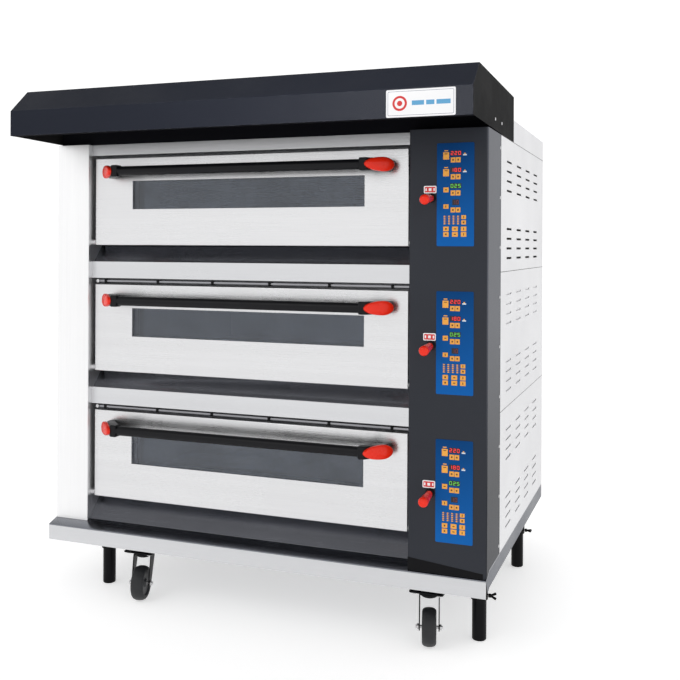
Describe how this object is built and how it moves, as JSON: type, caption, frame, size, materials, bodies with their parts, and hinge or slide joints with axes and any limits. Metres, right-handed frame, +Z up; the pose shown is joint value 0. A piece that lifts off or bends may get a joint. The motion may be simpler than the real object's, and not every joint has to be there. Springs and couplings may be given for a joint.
{
  "type": "deck oven",
  "caption": "Free-standing bakery deck oven: stacked baking chambers with drop-down glazed doors, a steam hood, a control column, castors and support legs.",
  "frame": {"origin": "on the floor below the centre of the overall box", "axes": "+Z up, -Y out of the doors towards the baker, +X to the baker's right, where the control column stands"},
  "size_m": [1.32, 1.139, 1.476],
  "materials": {
    "light_steel": "brushed stainless steel",
    "dark_panel": "fine-textured anthracite powder coat",
    "white_panel": "smooth white powder coat",
    "deck_grey": "dark grey sheet",
    "grey_steel": "grey painted steel",
    "black_steel": "black painted steel",
    "black_plastic": "black moulded plastic",
    "red_plastic": "glossy red plastic",
    "window_glass": "tinted heat-resistant glass",
    "liner_steel": "aluminised steel",
    "hearth_stone": "fired stone hearth",
    "element_steel": "sheathed heating rod",
    "wool": "mineral wool",
    "lamp_glass": "frosted lamp glass",
    "keypad_blue": "printed membrane keypad",
    "label_white": "printed plate",
    "board_green": "circuit board",
    "rubber": "moulded rubber tyre",
    "zinc": "zinc-plated steel"
  },
  "bodies": {
    "root": {"base_frame": "black_steel", "castor_plates": "black_steel", "base_deck": "deck_grey", "base_skirt": "light_steel", "left_pillar": "light_steel", "control_housing": "dark_panel", "panel_screws": "zinc", "ledge_lips": "light_steel", "sill_slopes": "deck_grey", "chamber_fronts": "grey_steel", "chamber_liners": "liner_steel", "hearth_plates": "hearth_stone", "heating_elements": "element_steel", "insulation_slabs": "wool", "chamber_lamps": "lamp_glass", "inner_frame": "grey_steel", "side_panels": "white_panel", "rear_panels": "white_panel", "top_box": "white_panel", "hood_shell": "dark_panel", "hood_baffle": "dark_panel", "label_plates": "label_white", "keypads": "keypad_blue", "damper_bushes": "black_plastic", "control_boards": "board_green", "switchgear": "black_plastic", "mains_gland": "black_plastic", "steam_outlet": "grey_steel", "hinge_pins": "zinc"},
    "lower_door": {"lower_door_shell": "light_steel", "lower_door_glass": "window_glass", "lower_door_handle": "black_plastic", "lower_door_caps": "red_plastic"},
    "lower_damper": {"lower_damper": "red_plastic"},
    "middle_door": {"middle_door_shell": "light_steel", "middle_door_glass": "window_glass", "middle_door_handle": "black_plastic", "middle_door_caps": "red_plastic"},
    "middle_damper": {"middle_damper": "red_plastic"},
    "upper_door": {"upper_door_shell": "light_steel", "upper_door_glass": "window_glass", "upper_door_handle": "black_plastic", "upper_door_caps": "red_plastic"},
    "upper_damper": {"upper_damper": "red_plastic"},
    "front_left_castor_fork": {"front_left_castor_fork": "black_steel"},
    "front_left_castor_wheel": {"front_left_castor_wheel": "rubber"},
    "front_left_leg": {"front_left_leg": "black_steel"},
    "front_left_clamp_screw": {"front_left_clamp_screw": "black_steel"},
    "front_right_castor_fork": {"front_right_castor_fork": "black_steel"},
    "front_right_castor_wheel": {"front_right_castor_wheel": "rubber"},
    "front_right_leg": {"front_right_leg": "black_steel"},
    "front_right_clamp_screw": {"front_right_clamp_screw": "black_steel"},
    "rear_left_castor_fork": {"rear_left_castor_fork": "black_steel"},
    "rear_left_castor_wheel": {"rear_left_castor_wheel": "rubber"},
    "rear_left_leg": {"rear_left_leg": "black_steel"},
    "rear_left_clamp_screw": {"rear_left_clamp_screw": "black_steel"},
    "rear_right_castor_fork": {"rear_right_castor_fork": "black_steel"},
    "rear_right_castor_wheel": {"rear_right_castor_wheel": "rubber"},
    "rear_right_leg": {"rear_right_leg": "black_steel"},
    "rear_right_clamp_screw": {"rear_right_clamp_screw": "black_steel"}
  },
  "joints": [
    {"name": "lower_door_hinge", "type": "hinge", "parent": "root", "child": "lower_door", "pos_m": [-0.0495, -0.3265, 0.292], "axis": [1, 0, 0], "range_deg": [0, 90]},
    {"name": "lower_damper_pull", "type": "slide", "parent": "root", "child": "lower_damper", "axis": [0, -0.9945, -0.1045], "range_m": [0, 0.04]},
    {"name": "middle_door_hinge", "type": "hinge", "parent": "root", "child": "middle_door", "pos_m": [-0.0495, -0.3265, 0.6685], "axis": [1, 0, 0], "range_deg": [0, 90]},
    {"name": "middle_damper_pull", "type": "slide", "parent": "root", "child": "middle_damper", "axis": [0, -0.9945, -0.1045], "range_m": [0, 0.04]},
    {"name": "upper_door_hinge", "type": "hinge", "parent": "root", "child": "upper_door", "pos_m": [-0.0495, -0.3265, 1.045], "axis": [1, 0, 0], "range_deg": [0, 90]},
    {"name": "upper_damper_pull", "type": "slide", "parent": "root", "child": "upper_damper", "axis": [0, -0.9945, -0.1045], "range_m": [0, 0.04]},
    {"name": "front_left_castor_swivel", "type": "hinge", "parent": "root", "child": "front_left_castor_fork", "pos_m": [-0.369, -0.3275, 0.132], "axis": [0, 0, 1], "continuous": true},
    {"name": "front_left_castor_axle", "type": "hinge", "parent": "front_left_castor_fork", "child": "front_left_castor_wheel", "pos_m": [-0.36223, -0.35467, 0.0495], "axis": [0.9703, 0.2419, 0], "continuous": true},
    {"name": "front_left_leg_slide", "type": "slide", "parent": "root", "child": "front_left_leg", "axis": [0, 0, 1], "range_m": [-0.04, 0]},
    {"name": "front_left_clamp_turn", "type": "hinge", "parent": "root", "child": "front_left_clamp_screw", "pos_m": [-0.532, -0.2655, 0.118], "axis": [-1, 0, 0], "range_deg": [-360, 0]},
    {"name": "front_right_castor_swivel", "type": "hinge", "parent": "root", "child": "front_right_castor_fork", "pos_m": [0.498, -0.3275, 0.132], "axis": [0, 0, 1], "continuous": true},
    {"name": "front_right_castor_axle", "type": "hinge", "parent": "front_right_castor_fork", "child": "front_right_castor_wheel", "pos_m": [0.50477, -0.35467, 0.0495], "axis": [0.9703, 0.2419, 0], "continuous": true},
    {"name": "front_right_leg_slide", "type": "slide", "parent": "root", "child": "front_right_leg", "axis": [0, 0, 1], "range_m": [-0.04, 0]},
    {"name": "front_right_clamp_turn", "type": "hinge", "parent": "root", "child": "front_right_clamp_screw", "pos_m": [0.617, -0.2655, 0.118], "axis": [1, 0, 0], "range_deg": [-360, 0]},
    {"name": "rear_left_castor_swivel", "type": "hinge", "parent": "root", "child": "rear_left_castor_fork", "pos_m": [-0.369, 0.3955, 0.132], "axis": [0, 0, 1], "continuous": true},
    {"name": "rear_left_castor_axle", "type": "hinge", "parent": "rear_left_castor_fork", "child": "rear_left_castor_wheel", "pos_m": [-0.36223, 0.42267, 0.0495], "axis": [-0.9703, 0.2419, 0], "continuous": true},
    {"name": "rear_left_leg_slide", "type": "slide", "parent": "root", "child": "rear_left_leg", "axis": [0, 0, 1], "range_m": [-0.04, 0]},
    {"name": "rear_left_clamp_turn", "type": "hinge", "parent": "root", "child": "rear_left_clamp_screw", "pos_m": [-0.532, 0.3315, 0.118], "axis": [-1, 0, 0], "range_deg": [-360, 0]},
    {"name": "rear_right_castor_swivel", "type": "hinge", "parent": "root", "child": "rear_right_castor_fork", "pos_m": [0.498, 0.3955, 0.132], "axis": [0, 0, 1], "continuous": true},
    {"name": "rear_right_castor_axle", "type": "hinge", "parent": "rear_right_castor_fork", "child": "rear_right_castor_wheel", "pos_m": [0.50477, 0.42267, 0.0495], "axis": [-0.9703, 0.2419, 0], "continuous": true},
    {"name": "rear_right_leg_slide", "type": "slide", "parent": "root", "child": "rear_right_leg", "axis": [0, 0, 1], "range_m": [-0.04, 0]},
    {"name": "rear_right_clamp_turn", "type": "hinge", "parent": "root", "child": "rear_right_clamp_screw", "pos_m": [0.617, 0.3315, 0.118], "axis": [1, 0, 0], "range_deg": [-360, 0]}
  ]
}
